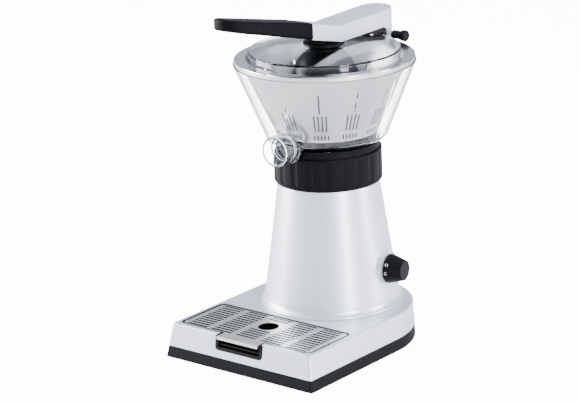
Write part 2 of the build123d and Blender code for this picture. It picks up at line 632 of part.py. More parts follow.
def arm_frame():
    """Moulded inner frame of the lever, with the hinge knuckles and a tongue for the grip."""
    half = ARM_HALF - 2.15
    top = FRAME_TOP
    low = FRAME_LOW
    side = [(128.0, top), (48.3, top), (0.5, arm_line(0.5, top))]
    side += tongue_line()
    side += [(0.5, arm_line(0.5, low)), (48.5, low), (98.0, low), (100.0, 321.6), (121.0, 319.4),
             (124.4, 318.6), (125.8, 310.6), (130.0, 310.0)]
    body = side_plate(side, -half, half)
    body += rod_x(KNUCKLE_R, -half, half, PIN_Y, PIN_Z)
    body += side_plate(
        [(127.0, top), (127.0, 310.0), (PIN_Y - 3.0, 310.0), (PIN_Y, PIN_Z - KNUCKLE_R + 0.1),
         (PIN_Y + KNUCKLE_R, PIN_Z), (PIN_Y + KNUCKLE_R, top - 12.0), (137, top)], -half, half)
    body = body & arm_plan(half, -120.0)
    body -= box(-8.4, 8.4, 124.0, 170.0, 290.0, 332.0)
    for y0, y1 in ((72.0, 94.0), (100.0, 120.0)):
        body -= box(-half + 2.4, -1.2, y0, y1, 300.0, top - 3.0)
        body -= box(1.2, half - 2.4, y0, y1, 300.0, top - 3.0)
    grip_space = box(-half - 1, half + 1, -170, -0.2, 300, 420)
    body -= grip_space - box(-TONGUE_HALF, TONGUE_HALF, -170, 0, 300, 420)
    body -= rod(2.0, 300, 334.0)
    return body - rod_x(PIN_R + RUN_FIT, -30, 30, PIN_Y, PIN_Z)


def grip():
    """Soft grip with a half-round end that slides over the frame's tongue."""
    half = ARM_HALF + 0.6
    joint_y = -0.2
    top_j, low_j = arm_line(joint_y, ARM_TOP) + 0.5, arm_line(joint_y, 324.6)
    top_t, low_t = arm_line(GRIP_TIP_Y, ARM_TOP) - 2.2, arm_line(GRIP_TIP_Y, 324.6) + 2.8
    side = [(joint_y, top_j), (GRIP_TIP_Y, top_t), (GRIP_TIP_Y, low_t), (joint_y, low_j)]
    tip = GRIP_TIP_Y + half
    plan = Pos(0, (tip + joint_y) / 2) * Rectangle(2 * half, joint_y - tip) + Pos(0, tip) * Circle(half)
    bar = side_plate(side, -half, half) & (Pos(0, 0, 290) * extrude(plan, amount=120))
    outline = [e for e in bar.edges() if (e @ 0.5).Y < joint_y - 0.1 and abs((e % 0.5).Z) < 0.9]
    return fillet(outline, 3.0) - side_plate(tongue_line(), -TONGUE_HALF, TONGUE_HALF)


def press_hub():
    """Black hub between lever and lid."""
    disc = turned_points([(0, HUB_BOTTOM), (20.6, HUB_BOTTOM), (22.2, HUB_BOTTOM + 1.0), (22.2, 324.2),
                          (0, 324.2)])
    stem = box(-16.6, 16.6, AXIS_Y - 12, AXIS_Y + 12, 323.0, 325.3)
    return disc + stem - rod(2.0, 300, 330)


def lid():
    """Clear lid: a shallow cone with a skirt that drops inside the basket's rim."""
    return turned([
        Line((13.0, 318.8), (13.0, 321.0)),
        Line((13.0, 321.0), (24.0, 320.9)),
        ThreePointArc((24.0, 320.9), (54.0, 319.9), (LID_R - 1.4, LID_EDGE_Z)),
        RadiusArc((LID_R - 1.4, LID_EDGE_Z), (LID_R, LID_EDGE_Z - 1.4), 1.4),
        Line((LID_R, LID_EDGE_Z - 1.4), (LID_R - 0.6, 305.6)),
        Line((LID_R - 0.6, 305.6), (LID_R - 2.6, 305.6)),
        Line((LID_R - 2.6, 305.6), (LID_R - 2.2, LID_EDGE_Z - 2.2)),
        ThreePointArc((LID_R - 2.2, LID_EDGE_Z - 2.2), (52.0, 317.7), (22.0, 318.7)),
        Line((22.0, 318.7), (13.0, 318.8)),
    ])


def press_cup():
    """Ribbed cup that presses the fruit half on to the cone."""
    shell = turned([
        Line((0, 321.0), (12.8, 321.0)),
        Line((12.8, 321.0), (12.8, 317.0)),
        ThreePointArc((12.8, 317.0), (31.0, 301.0), (39.0, 266.0)),
        Line((39.0, 266.0), (36.4, 266.0)),
        ThreePointArc((36.4, 266.0), (27.5, 294.0), (0, 305.0)),
        Line((0, 305.0), (0, 321.0)),
    ])
    shell -= rod(4.4, 300.0, 305.5) + rod(2.0, 300, 330)
    fin_space = turned_points([(33.0, 268.0), (37.5, 268.0), (35.0, 283.0), (31.0, 292.0), (29.0, 289.0)])
    for turn in around(6, 15):
        shell += turn * (box(-0.9, 0.9, AXIS_Y - 38.0, AXIS_Y - 29.0, 267, 292) & fin_space)
    return shell


def hub_screw():
    """Screw that draws the cup, the lid and the hub up against the lever's frame."""
    screw = rod(4.0, 303.5, 305.5) + rod(2.0, 305.0, 334.0)
    return screw - rod(1.6, 302, 304.6)


# ---- hinge --------------------------------------------------------------------------------
def hinge_bracket():
    """Black bracket on the bowl's rear wall; its knuckle takes the hinge pin."""
    body = rod_x(KNUCKLE_R, -8.0, 8.0, PIN_Y, PIN_Z)
    body += side_plate([(PIN_Y - 1.0, PIN_Z), (PIN_Y - 1.0, 304.0), (AXIS_Y + 85, 272.0), (AXIS_Y + 92, 272.0),
                        (PIN_Y + 3.0, 300.0), (PIN_Y + 3.2, 308.0), (PIN_Y + 4.4, PIN_Z)], -8.0, 8.0)
    body += side_plate([(AXIS_Y + 80, 301.0), (AXIS_Y + 80, 268.0), (AXIS_Y + 86.5, 268.0),
                        (AXIS_Y + 93.5, 274.0), (AXIS_Y + 100.2, 301.0)], -14.0, 14.0)
    rim_top = RIM_TOP + 0.6
    body -= turned_points([(0, 250), (bowl_r(250), 250), BOWL_RIM, (BOWL_RIM[0], rim_top), (0, rim_top)])
    body -= rod_x(PIN_R + RUN_FIT, -30, 30, PIN_Y, PIN_Z)
    body -= bracket_holes(1.55)
    return body - bracket_holes(3.0, BRACKET_SEAT_Y)


def bracket_holes(radius, y0=AXIS_Y + 84.0, y1=AXIS_Y + 110.0):
    return rod_y(radius, y0, y1, -11.0, 286.0) + rod_y(radius, y0, y1, 11.0, 286.0)


def bracket_screws():
    screws = []
    for x in (-11.0, 11.0):
        head = rod_y(2.8, BRACKET_SEAT_Y, BRACKET_SEAT_Y + 2.0, x, 286.0)
        screws.append(head + rod_y(1.55, AXIS_Y + 85.8, BRACKET_SEAT_Y, x, 286.0))
    return Compound(children=screws)


def hinge_pin():
    return rod_x(PIN_R, -17.2, 30.0, PIN_Y, PIN_Z)


def pin_knob():
    profile = [(19.3, 0), (19.3, 4.7), (30.3, 4.7), (30.9, 6.0), (36.1, 6.0), (36.9, 5.2), (36.9, 0)]
    knob_shape = revolve(make_face(Polyline(*profile, close=True)), axis=Axis.X)
    return Pos(0, PIN_Y, PIN_Z) * knob_shape - rod_x(PIN_R, 0, 30.0, PIN_Y, PIN_Z)


# ---- control ------------------------------------------------------------------------------
def knob():
    """Tapered knob with fine ribs, turned about its own axis."""
    body = Plane.XZ * make_face([
        Line((0, 0), (15.7, 0)),
        Line((15.7, 0), (15.7, 2.2)),
        Line((15.7, 2.2), (11.2, KNOB_LENGTH - 0.8)),
        RadiusArc((11.2, KNOB_LENGTH - 0.8), (10.4, KNOB_LENGTH), -0.8),
        Line((10.4, KNOB_LENGTH), (0, KNOB_LENGTH)),
        Line((0, KNOB_LENGTH), (0, 0))])
    cap = revolve(body, axis=Axis.Z)
    lean = math.degrees(math.atan2(15.7 - 11.2, KNOB_LENGTH - 3.0))
    for i in range(24):
        groove = Pos(13.55 + 0.35, 0, 10.5) * Rot(0, -lean, 0) * Cylinder(0.6, 13.0)
        cap -= Rot(0, 0, 15.0 * i) * groove
    cap -= Pos(0, 0, 5.5) * Cylinder(3.0, 11.2)
    return KNOB_FRAME * Pos(0, 0, KNOB_FACE) * cap


def knob_shaft():
    length = KNOB_FACE + 10.6 - 52.5
    return KNOB_FRAME * Pos(0, 0, 52.5 + length / 2) * Cylinder(3.0, length)


def switch_body():
    """Rotary selector switch behind the column's wall."""
    case = KNOB_FRAME * Pos(0, 0, 54.5) * Box(24, 24, 9.0)
    bush = KNOB_FRAME * Pos(0, 0, 62.5) * Cylinder(4.8, 9.0)
    hole = KNOB_FRAME * Pos(0, 0, 60) * Cylinder(3.0 + RUN_FIT, 30)
    tabs = KNOB_FRAME * Pos(0, 0, 49.0)
    body = case + bush
    for side in (-1, 0, 1):
        body += tabs * Pos(9, 7.0 * side, 0) * Box(0.8, 4.0, 4.0)
    return body - hole


def control_board():
    z = FLOOR_GAP + 3.0
    board = box(-28, 28, 62, 100, z + 3.4, z + 5.0)
    for x, y in ((-24, 66), (24, 66), (-24, 96), (24, 96)):
        board += rod(2.4, z, z + 3.5, x, y)
    board += box(-20, -4, 72, 88, z + 4.9, z + 16.9) + box(6, 24, 74, 82, z + 4.9, z + 11.9)
    board += rod(5.0, z + 4.9, z + 17.9, 14, 91)
    return board


# ---- drip tray and grille -------------------------------------------------------------------
def drip_tray():
    """Black tray with a front frame that fills the finger notch."""
    y0, y1 = TRAY_Y
    tray = round_rect(TRAY_HALF, y0, y1, 18.0, DECK_TOP, 6.5)
    tray -= round_rect(TRAY_HALF - 2.0, y0 + 2.0, y1 - 2.0, 35.6, 60, 5.0)
    tray -= round_rect(TRAY_HALF - 5.0, y0 + 5.0, y1 - 5.0, 20.0, 60, 5.0)
    half = NOTCH_HALF - 0.4
    front = BASE_FRONT + 3.9
    frame = side_plate([(y0 + 1.9, NOTCH_Z + 0.4), (front - 0.8, NOTCH_Z + 0.4), (front + 1.4, 36.0),
                        (y0 + 1.9, 36.0)], -half, half)
    cheek = side_plate([(y0 + 1.9, NOTCH_Z + 0.4), (front - 0.8, NOTCH_Z + 0.4), (front + 1.7, DECK_TOP),
                        (y0 + 1.9, DECK_TOP)], -half, -half + 2.2)
    tray += frame + cheek + cheek.moved(Location((2 * half - 2.2, 0, 0)))
    tray -= box(-half + 2.2, half - 2.2, front - 6, y0 - 0.8, NOTCH_Z + 2.4, 34.4)
    tray -= box(-half + 2.2, half - 2.2, front - 6, y0 + 2.6, 35.6, 60)
    tray += box(-half + 2.0, half - 2.0, front + 1.6, y0 - 0.6, 27.0, 28.4)
    return tray


def drip_grille():
    """Stainless sheet with a turned edge, five columns of slots, a middle hole and a front tab."""
    y0, y1 = GRILLE_Y
    z0, z1 = 35.8, 37.4
    sheet = 0.6
    edge = 1.2
    plate = round_rect(GRILLE_HALF, y0, y1, z0, z1, 5.0)
    plate -= round_rect(GRILLE_HALF - edge, y0 + edge, y1 - edge, z0 - 1, z1 - sheet, 5.0 - edge)
    tab_front = -121.2
    plate += box(-27.4, 27.4, tab_front, y0 + 1, z0, z1)
    plate += box(-27.4, 27.4, tab_front, tab_front + 1.4, z1 - 3.6, z1)
    columns, rows = 5, 12
    column_pitch, row_pitch = 33.6, 5.5
    slot_length, slot_width = 27.0, 2.9
    cutters = []
    for c in range(columns):
        x = column_pitch * (c - 2)
        for r in range(rows):
            y = y0 + 3.0 + row_pitch * r
            if c == 2 and abs(y - HOLE_Y) < 13.4:
                continue
            bar = SlotOverall(slot_length, slot_width)
            cutters.append((Pos(x, y, z0 - 2) * extrude(bar, amount=6)).solids()[0])
    cutters.append(rod(11.2, z0 - 2, z1 + 2, 0, HOLE_Y).solids()[0])
    return plate.cut(*cutters)


PIECES = [base_plate, rubber_feet, base_screws, base_cover, cord_gland, tower, tower_screws,
          motor_can, motor_end_cap, motor_stator, motor_rotor, motor_screws,
          gear_case, gear_cover, lay_shaft, lay_gear, motor_pinion, output_gear, drive_shaft,
          lower_bush, upper_bush, shaft_seal, deck, collar, bowl_gasket, bowl, spout, spout_o_ring,
          filter_basket, filter_rim, basket_hub, reamer, arm_shell, arm_frame, grip, press_hub,
          lid, press_cup, hub_screw, hinge_bracket, bracket_screws, hinge_pin, pin_knob,
          knob, knob_shaft, switch_body, control_board, drip_tray, drip_grille]

for piece in PIECES:
    save(piece.__name__, piece())
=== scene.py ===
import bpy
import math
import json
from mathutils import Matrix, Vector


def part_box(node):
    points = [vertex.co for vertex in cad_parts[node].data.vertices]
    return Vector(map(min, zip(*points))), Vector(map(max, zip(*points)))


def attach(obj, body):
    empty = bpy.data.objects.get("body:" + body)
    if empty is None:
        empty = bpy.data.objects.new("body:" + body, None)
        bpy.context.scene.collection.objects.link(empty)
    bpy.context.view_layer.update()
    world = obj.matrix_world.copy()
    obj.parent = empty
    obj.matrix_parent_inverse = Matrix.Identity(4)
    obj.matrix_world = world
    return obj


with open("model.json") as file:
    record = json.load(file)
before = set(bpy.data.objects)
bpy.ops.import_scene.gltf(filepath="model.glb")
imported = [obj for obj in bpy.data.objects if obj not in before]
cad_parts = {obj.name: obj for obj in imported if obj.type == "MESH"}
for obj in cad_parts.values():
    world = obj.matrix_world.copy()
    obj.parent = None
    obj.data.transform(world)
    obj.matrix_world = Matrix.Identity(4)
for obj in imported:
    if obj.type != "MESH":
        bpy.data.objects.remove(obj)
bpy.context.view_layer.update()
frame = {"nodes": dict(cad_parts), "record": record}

# %% [markdown]
# # A lever citrus press
# The model is loaded as fixed bodies: base, lever, basket, knob and so on. Sizes are metres, +Z is up,
# the front faces -Y, and the drive axis stands behind the middle of the base. The size of the loaded model
# is kept, so that the finished one can be compared with it.

MM = 0.001


def centre_of(node):
    low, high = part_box(node)
    return (low + high) / 2


AXIS = centre_of("filter_rim")
AXIS.z = 0.0

# %% [markdown]
# ## Camera
# A long lens stands to the right of the front, a little above the rim, and leans by two degrees. A long lens
# keeps the upright edges nearly parallel, as in catalogue pictures. The camera is placed by its three axes,
# right, up and backwards, because that says exactly where it looks, lean included.

# %% Camera
CAMERA_AT = AXIS + Vector((1.59879, -1.99240, 0.93666))
AZIMUTH, ELEVATION, LEAN = (math.radians(v) for v in (39.697, 17.159, -2.280))
LENS = 153.99


def make_camera():
    back = Vector((math.sin(AZIMUTH) * math.cos(ELEVATION), -math.cos(AZIMUTH) * math.cos(ELEVATION),
                   math.sin(ELEVATION)))
    level = Vector((math.cos(AZIMUTH), math.sin(AZIMUTH), 0.0))
    upright = back.cross(level)
    right = math.cos(LEAN) * level + math.sin(LEAN) * upright
    up = math.cos(LEAN) * upright - math.sin(LEAN) * level
    camera = bpy.data.objects.new("camera", bpy.data.cameras.new("camera"))
    bpy.context.scene.collection.objects.link(camera)
    camera.data.lens = LENS
    camera.data.sensor_width = 36.0
    camera.data.clip_start, camera.data.clip_end = 0.1, 40.0
    turn = Matrix((right, up, back)).transposed().to_4x4()
    camera.matrix_world = Matrix.Translation(CAMERA_AT) @ turn
    bpy.context.scene.camera = camera
    return camera


camera = make_camera()
print("camera at", [round(v, 3) for v in camera.location])

# %% [markdown]
# ## Shader maths as expressions
# A finish is a small network of nodes. Written node by node it is long and hard to read, so one small class
# wraps a socket: adding, multiplying or comparing two of them adds the Math node that does it.

# %% Patterns and networks
WHITE = (1.0, 1.0, 1.0)
EVEN = (1.0, 1.0, 1.0)


class Pattern:
    """One number or colour that varies over a surface."""

    def __init__(self, network, socket):
        self.network = network
        self.socket = socket

    def maths(self, operation, *values):
        inputs = dict(enumerate((self,) + values))
        return self.network.node("ShaderNodeMath", {"operation": operation}, inputs)

    def __add__(self, other):
        return self.maths("ADD", other)

    def __sub__(self, other):
        return self.maths("SUBTRACT", other)

    def __rsub__(self, other):
        return self.maths("MULTIPLY_ADD", -1.0, other)

    def __mul__(self, other):
        return self.maths("MULTIPLY", other)

    def __gt__(self, other):
        return self.maths("GREATER_THAN", other)

    def __lt__(self, other):
        return self.maths("LESS_THAN", other)


class Network:
    """The nodes of one material or of the sky."""

    def __init__(self, owner):
        self.owner = owner
        owner.use_nodes = True

    def node(self, kind, settings=None, inputs=None, out=0):
        made = self.owner.node_tree.nodes.new(kind)
        for key, value in (settings or {}).items():
            setattr(made, key, value)
        for key, value in (inputs or {}).items():
            self.connect(made.inputs[key], value)
        return Pattern(self, made.outputs[out])

    def connect(self, socket, value):
        if isinstance(value, Pattern):
            self.owner.node_tree.links.new(value.socket, socket)
        else:
            socket.default_value = value

    def blend(self, amount, low, high):
        """Colour that goes from low to high as amount goes from 0 to 1."""
        ends = [end if isinstance(end, Pattern) else end + (1.0,) for end in (low, high)]
        inputs = {0: amount, 6: ends[0], 7: ends[1]}
        return self.node("ShaderNodeMix", {"data_type": "RGBA"}, inputs, out=2)


class Finish(Network):
    """A material built from patterns in the object's own coordinates."""

    def __init__(self, name):
        super().__init__(bpy.data.materials.new(name))
        self.shader = self.owner.node_tree.nodes["Principled BSDF"]
        self.place = self.node("ShaderNodeTexCoord", out="Object")

    def noise(self, scale, detail=2.0, stretch=EVEN):
        """Cloudy pattern; scale counts blotches per metre."""
        place = self.node("ShaderNodeMapping", {}, {"Vector": self.place, "Scale": stretch})
        inputs = {"Vector": place, "Scale": scale, "Detail": detail}
        return self.node("ShaderNodeTexNoise", {}, inputs)

    def along(self, index):
        """Place along X, Y or Z."""
        return self.node("ShaderNodeSeparateXYZ", {}, {0: self.place}, out=index)

    def from_axis(self, centre):
        """How far a point is from an upright axis, in metres."""
        parts = {"X": self.along(0) - centre[0], "Y": self.along(1) - centre[1]}
        flat = self.node("ShaderNodeCombineXYZ", {}, parts)
        return self.node("ShaderNodeVectorMath", {"operation": "LENGTH"}, {0: flat}, out="Value")

    def between(self, amount, low, high):
        """Number that goes from low to high as amount goes from 0 to 1."""
        return amount * (high - low) + low

    def bump(self, height, depth, strength=1.0):
        """Normal that stands for a relief of the given depth in metres."""
        return self.node("ShaderNodeBump", {}, {"Height": height, "Distance": depth, "Strength": strength})

    def set(self, **sockets):
        """Set or connect sockets of the surface shader; an underscore stands for a space."""
        for name, value in sockets.items():
            title = name.replace("_", " ").replace("Specular", "Specular IOR Level")
            self.connect(self.shader.inputs[title], value)
        return self.owner


print("sockets of the surface shader:", len(Finish("test_piece").shader.inputs))
bpy.data.materials.remove(bpy.data.materials["test_piece"])

# %% [markdown]
# ## Studio
# The juicer stands on a wide white sheet. In a catalogue picture the sheet is so bright that no shadow or
# horizon shows, yet it mustn't wash out the black parts. So sheet and sky glow only where the camera sees
# them directly or through clear plastic, and not in reflections. Three tall soft boxes draw the long upright
# reflections on the column: two right of the camera with a darker gap between them, and one far to the left.
# In reflections the sky is a calm blue grey, which the flat tops show.

# %% Sheet, sky and soft boxes
SHEET_R = 9.0
GLOW = 12.0
SKY = (0.68, 0.74, 0.86)
UPRIGHT = {"height": 0.75, "aim_height": 0.15, "tall": 1.7}


def straight_view(network):
    """1 where the camera looks straight, or through clear plastic, and 0 after any bounce."""
    after_matt = network.node("ShaderNodeLightPath", out="Diffuse Depth")
    after_gloss = network.node("ShaderNodeLightPath", out="Glossy Depth")
    return (after_matt < 0.5) * (after_gloss < 0.5)


def paper():
    f = Finish("white_paper")
    seen = straight_view(f)
    tone = f.blend(f.noise(3.0), (0.80, 0.80, 0.81), (0.84, 0.84, 0.84))
    return f.set(Base_Color=tone, Roughness=0.9, Emission_Color=WHITE + (1.0,),
                 Emission_Strength=seen * GLOW)


def make_sky():
    sky = Network(bpy.data.worlds.new("sky"))
    seen = straight_view(sky)
    background = sky.owner.node_tree.nodes["Background"]
    sky.connect(background.inputs["Color"], sky.blend(seen, SKY, WHITE))
    sky.connect(background.inputs["Strength"], seen * GLOW + 1.0)
    bpy.context.scene.world = sky.owner


def soft_box(name, angle, reach, height, aim_height, width, tall, power):
    """Panel at an angle round the column, counted from +X towards the rear, in degrees."""
    light = bpy.data.lights.new(name, "AREA")
    light.shape = "RECTANGLE"
    light.size, light.size_y = width, tall
    light.energy = power
    lamp = bpy.data.objects.new(name, light)
    bpy.context.scene.collection.objects.link(lamp)
    turn = math.radians(angle)
    lamp.location = AXIS + Vector((reach * math.cos(turn), reach * math.sin(turn), height))
    aim = AXIS + Vector((0, 0, aim_height))
    lamp.rotation_euler = (aim - lamp.location).to_track_quat("-Z", "Y").to_euler()


bpy.ops.object.select_all(action="DESELECT")
bpy.ops.mesh.primitive_circle_add(vertices=96, radius=SHEET_R, fill_type="NGON", location=(0, 0, 0))
sheet = bpy.context.object
sheet.name = "sheet"
sheet.data.materials.append(paper())
make_sky()
soft_box("box_near_right", angle=-22, reach=1.9, width=0.40, power=56, **UPRIGHT)
soft_box("box_far_right", angle=28, reach=1.9, width=0.45, power=44, **UPRIGHT)
soft_box("box_left", angle=-156, reach=2.0, width=1.2, power=140, **UPRIGHT)
soft_box("box_top", angle=90, reach=0.3, width=1.4, power=20, height=1.9, aim_height=0.1, tall=1.0)

# %% [markdown]
# ## Finishes
# Every finish is made of the same few marks at its own scale: clouds that shift the tone a little, a fine
# grain in the relief, and brush lines where sheet metal has them. They read the object's own coordinates in
# metres, so one metre of pattern is one metre of juicer on every piece. Two steels differ by place: the
# basket is polished outside and rougher inside, where painted shade darkens it to near black towards the
# bottom, and the grille has painted shade, near black, on the cut walls of its slots and below.

# %% Plastics, rubber and lacquer
GRAIN_DEPTH, PEEL_DEPTH, FLOW_DEPTH = 0.00003, 0.00004, 0.00006
FLAKES_PER_METRE = 5200.0
CLEAR_INDEX = 1.49


def moulded(name, dark, light, roughness, grain=1400.0, clouds=28.0, gloss=0.3):
    """Moulded plastic or rubber: a fine eroded grain under slight clouds of shade."""
    f = Finish(name)
    cloud, fine = f.noise(clouds, 3.0), f.noise(grain, 2.0)
    f.set(Base_Color=f.blend(cloud * 0.6 + fine * 0.4, dark, light), Specular=gloss)
    worn = f.between(cloud * 0.5 + fine * 0.5, roughness - 0.06, roughness + 0.06)
    return f.set(Roughness=worn, Normal=f.bump(fine, GRAIN_DEPTH))


def lacquer(name, dark, light, roughness, metal):
    """Metallic lacquer: flakes too small to see one by one make the sheen grainy."""
    f = Finish(name)
    flakes, cloud, peel = f.noise(FLAKES_PER_METRE, 1.0), f.noise(22.0, 2.0), f.noise(260.0, 2.0)
    f.set(Base_Color=f.blend(flakes * 0.55 + cloud * 0.45, dark, light), Metallic=metal)
    f.set(Coat_Weight=0.25, Coat_Roughness=0.12)
    shine = f.between(flakes * 0.6 + cloud * 0.4, roughness - 0.05, roughness + 0.05)
    return f.set(Roughness=shine, Normal=f.bump(peel + flakes * 0.15, PEEL_DEPTH, 0.6))


def clear(name, tint, roughness):
    """Clear plastic: almost no colour, faint flow marks and wiping haze."""
    f = Finish(name)
    haze, flow = f.noise(60.0, 4.0), f.noise(18.0, 1.0)
    f.set(Base_Color=f.blend(flow, tint, (0.99, 0.995, 1.0)), Transmission_Weight=1.0, IOR=CLEAR_INDEX)
    return f.set(Roughness=f.between(haze, roughness * 0.4, roughness * 1.6),
                 Normal=f.bump(flow, FLOW_DEPTH, 0.5))


# %% Metals
BRUSH_DEPTH, RING_DEPTH = 0.000012, 0.00001
RINGS_PER_METRE = 1500.0
BASKET_SLOPE = 0.455
BASKET_SKIN = 0.3 * MM
# Heights inside the basket where the rougher satin and the painted shade begin, and where both are full.
SHADE_AND_SATIN_STARTS, SHADE_AND_SATIN_FULL = 0.287, 0.262
SLOT_WALL_TOP, GRILLE_TAB = 0.12 * MM, 13.6 * MM
# Near-black colour of the painted shade on the grille's slot walls and underside.
SLOT_PAINTED_SHADE = (0.012, 0.012, 0.013)


def brushed(f, dark, light, roughness, lines, grain):
    """Colour, roughness and relief of bare metal; lines below 1 draw the grain out along that axis."""
    brush, cloud = f.noise(grain, 3.0, lines), f.noise(30.0, 3.0)
    tone = f.blend(brush * 0.5 + cloud * 0.5, dark, light)
    sheen = f.between(brush * 0.7 + cloud * 0.3, roughness - 0.07, roughness + 0.07)
    return tone, sheen, f.bump(brush, BRUSH_DEPTH)


def metal(name, dark, light, roughness, lines=EVEN, grain=900.0):
    """Bare metal, the same all over."""
    f = Finish(name)
    tone, sheen, relief = brushed(f, dark, light, roughness, lines, grain)
    return f.set(Base_Color=tone, Metallic=1.0, Roughness=sheen, Normal=relief)


def turned_metal(name, dark, light, roughness):
    """Steel polished while it spins: rings round the drive axis."""
    f = Finish(name)
    ring = f.node("ShaderNodeTexNoise", {"noise_dimensions": "1D"},
                  {"W": f.from_axis(AXIS) * RINGS_PER_METRE, "Scale": 1.0, "Detail": 3.0})
    cloud = f.noise(26.0, 3.0)
    f.set(Base_Color=f.blend(ring * 0.4 + cloud * 0.6, dark, light), Metallic=1.0)
    return f.set(Roughness=f.between(ring * 0.5 + cloud * 0.5, roughness - 0.05, roughness + 0.05),
                 Normal=f.bump(ring, RING_DEPTH))


def strainer_steel(name, dark, light, inside, roughness, lines, grain):
    """Basket sheet: bright and polished outside; inside rougher, with painted shade that goes to near black
    towards the bottom.
    """
    f = Finish(name)
    low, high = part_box("filter_basket")
    wall = f.along(2) * BASKET_SLOPE + ((high.x - low.x) / 2 - BASKET_SLOPE * high.z)
    inner = f.from_axis(AXIS) < wall - BASKET_SKIN
    # Painted shade: on the inner face the colour goes to near black towards the bottom, and the roughness
    # rises with it.
    heights = {0: f.along(2), 1: SHADE_AND_SATIN_STARTS, 2: SHADE_AND_SATIN_FULL, 3: 0.0, 4: 1.0}
    shaded = inner * f.node("ShaderNodeMapRange", {}, heights)
    tone, sheen, relief = brushed(f, dark, light, roughness, lines, grain)
    f.set(Base_Color=f.blend(shaded, tone, inside), Metallic=1.0)
    return f.set(Roughness=sheen + shaded * 0.25, Normal=relief)


def slotted_steel(name, dark, light, roughness, lines, grain):
    """Brushed sheet: bright on top, with painted shade, near black and not metallic, on the cut walls of its
    slots and below.
    """
    f = Finish(name)
    low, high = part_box("drip_grille")
    # Painted shade: below the top skin, on the slot walls and the underside, the sheet turns near black and
    # loses its metal.
    below = (f.along(2) < high.z - SLOT_WALL_TOP) * (f.along(1) > low.y + GRILLE_TAB)
    tone, sheen, relief = brushed(f, dark, light, roughness, lines, grain)
    f.set(Base_Color=f.blend(below, tone, SLOT_PAINTED_SHADE), Metallic=1.0 - below)
    return f.set(Roughness=sheen, Normal=relief)


# %% All finishes, put on the loaded nodes
FINISHES = {
    "silver_paint": lacquer("silver_paint", (0.69, 0.735, 0.82), (0.80, 0.845, 0.93), 0.34, 0.6),
    "black_base": moulded("black_base", (0.0030, 0.0030, 0.0046), (0.0058, 0.0058, 0.0080), 0.5,
                          gloss=0.08),
    "black_collar": moulded("black_collar", (0.0026, 0.0026, 0.0038), (0.0050, 0.0050, 0.0068), 0.42,
                            grain=1800.0, gloss=0.055),
    "black_grip": moulded("black_grip", (0.0014, 0.0014, 0.0021), (0.0030, 0.0030, 0.0041), 0.5,
                          grain=2400.0, gloss=0.05),
    "black_knob": moulded("black_knob", (0.0020, 0.0020, 0.0028), (0.0042, 0.0042, 0.0052), 0.42,
                          gloss=0.09),
    "black_tray": moulded("black_tray", (0.0012, 0.0012, 0.0016), (0.0030, 0.0030, 0.0036), 0.4,
                          gloss=0.15),
    "inner_plastic": moulded("inner_plastic", (0.006, 0.006, 0.007), (0.012, 0.012, 0.013), 0.45, gloss=0.2),
    "cone_plastic": moulded("cone_plastic", (0.006, 0.006, 0.010), (0.012, 0.012, 0.017), 0.3, gloss=0.25),
    "gear_plastic": moulded("gear_plastic", (0.72, 0.70, 0.62), (0.80, 0.78, 0.70), 0.42),
    "board_green": moulded("board_green", (0.02, 0.14, 0.06), (0.03, 0.20, 0.09), 0.35, clouds=90.0),
    "foot_rubber": moulded("foot_rubber", (0.020, 0.020, 0.020), (0.035, 0.035, 0.035), 0.8, grain=700.0),
    "seal_rubber": moulded("seal_rubber", (0.012, 0.012, 0.013), (0.022, 0.022, 0.024), 0.7),
    "clear_plastic": clear("clear_plastic", (0.90, 0.93, 0.985), 0.03),
    # The basket steel's third colour, near black, is the painted shade on its inner face.
    "basket_steel": strainer_steel("basket_steel", (0.68, 0.655, 0.645), (0.81, 0.785, 0.775),
                                   (0.03, 0.03, 0.032), 0.30, (0.02, 0.02, 1.0), 2200.0),
    "rim_steel": turned_metal("rim_steel", (0.66, 0.66, 0.66), (0.78, 0.78, 0.78), 0.16),
    "grille_steel": slotted_steel("grille_steel", (0.62, 0.60, 0.57), (0.78, 0.76, 0.73), 0.36,
                                  (0.015, 1.0, 1.0), 2600.0),
    "screw_steel": metal("screw_steel", (0.50, 0.49, 0.47), (0.62, 0.61, 0.59), 0.3),
    "shaft_steel": metal("shaft_steel", (0.58, 0.58, 0.58), (0.70, 0.70, 0.70), 0.22, (1.0, 1.0, 0.03)),
    "motor_steel": metal("motor_steel", (0.46, 0.46, 0.44), (0.58, 0.58, 0.56), 0.4, (0.1, 0.1, 1.0)),
    "motor_iron": metal("motor_iron", (0.20, 0.20, 0.21), (0.32, 0.32, 0.33), 0.5, (1.0, 1.0, 30.0)),
    "bush_bronze": metal("bush_bronze", (0.45, 0.29, 0.13), (0.58, 0.39, 0.19), 0.35),
}
for row in frame["record"]["subparts"]:
    node = frame["nodes"][row["node"]]
    for place in node.material_slots:
        place.material = FINISHES[row["material_slot"]]
print(len(FINISHES), "finishes on", len(frame["nodes"]), "nodes")

# %% [markdown]
# ## Tools for the small pieces
# The loaded pieces keep their shapes. What they lack are small parts made by hand: a rounded black frame
# round the finger notch, the marks of the dial and a bead on the spout. Each starts as a flat outline in its
# own XY plane, is shaped there in edit mode, gets its thickness, and is then put in place, with the place
# baked into its mesh.

# %% Helpers for small pieces


def outline(vertices, radius, name):
    """A flat filled outline round the origin."""
    bpy.ops.object.select_all(action="DESELECT")
    bpy.ops.mesh.primitive_circle_add(vertices=vertices, radius=radius, fill_type="NGON", location=(0, 0, 0))
    bpy.context.object.name = name
    return bpy.context.object


